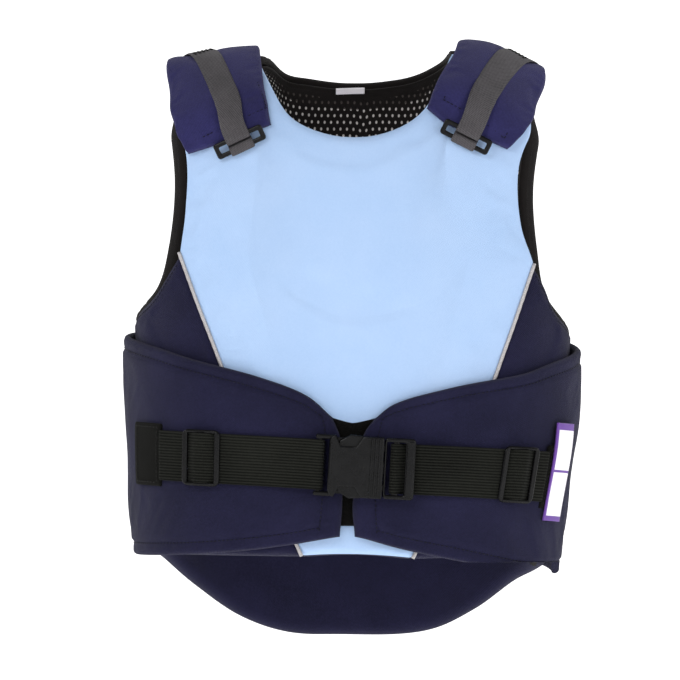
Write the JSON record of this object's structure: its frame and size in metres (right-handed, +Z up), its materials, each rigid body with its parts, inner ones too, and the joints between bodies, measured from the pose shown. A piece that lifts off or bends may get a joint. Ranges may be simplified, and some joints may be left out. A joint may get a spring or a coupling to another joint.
{
  "type": "equestrian body protector",
  "caption": "Child's padded riding vest: foam chest and back panels, waist wings with a belt and side-release buckle, shoulder flaps with straps and rings, mesh lining.",
  "frame": {"origin": "inside of the shoulder ridge, midway between the two shoulders, where the vest hangs on its wearer", "axes": "+Z up; -Y is the front of the vest; +X is the viewer's right when facing the front"},
  "size_m": [0.3653, 0.2114, 0.4739],
  "materials": {
    "chest_fabric": "light blue plain-weave polyester over foam",
    "body_fabric": "navy brushed woven polyester over foam",
    "flap_fabric": "navy woven polyester over thin foam, topstitched",
    "lining_mesh": "black knitted mesh with oval holes",
    "piping": "grey reflective piping",
    "elastic": "black ribbed elastic webbing",
    "webbing": "dark grey woven nylon webbing",
    "plastic": "black moulded acetal",
    "label": "white satin label, bare",
    "hook_patch": "black soft loop fastening tape"
  },
  "bodies": {
    "root": {"front_panel": "chest_fabric", "back_panel": "body_fabric", "back_lining": "lining_mesh", "fastening_patch": "hook_patch", "neck_label": "label", "side_label": "label", "buckle_socket": "plastic", "buckle_plug": "plastic", "front_side_left": "body_fabric", "piping_left": "piping", "shoulder_flap_left": "flap_fabric", "shoulder_strap_left": "webbing", "shoulder_ring_left": "plastic", "ring_anchor_left": "webbing", "waist_wing_left": "body_fabric", "waist_strap_left": "elastic", "strap_patch_left": "elastic", "slider_left": "plastic", "front_side_right": "body_fabric", "piping_right": "piping", "shoulder_flap_right": "flap_fabric", "shoulder_strap_right": "webbing", "shoulder_ring_right": "plastic", "ring_anchor_right": "webbing", "waist_wing_right": "body_fabric", "waist_strap_right": "elastic", "strap_patch_right": "elastic", "slider_right": "plastic"}
  },
  "joints": []
}
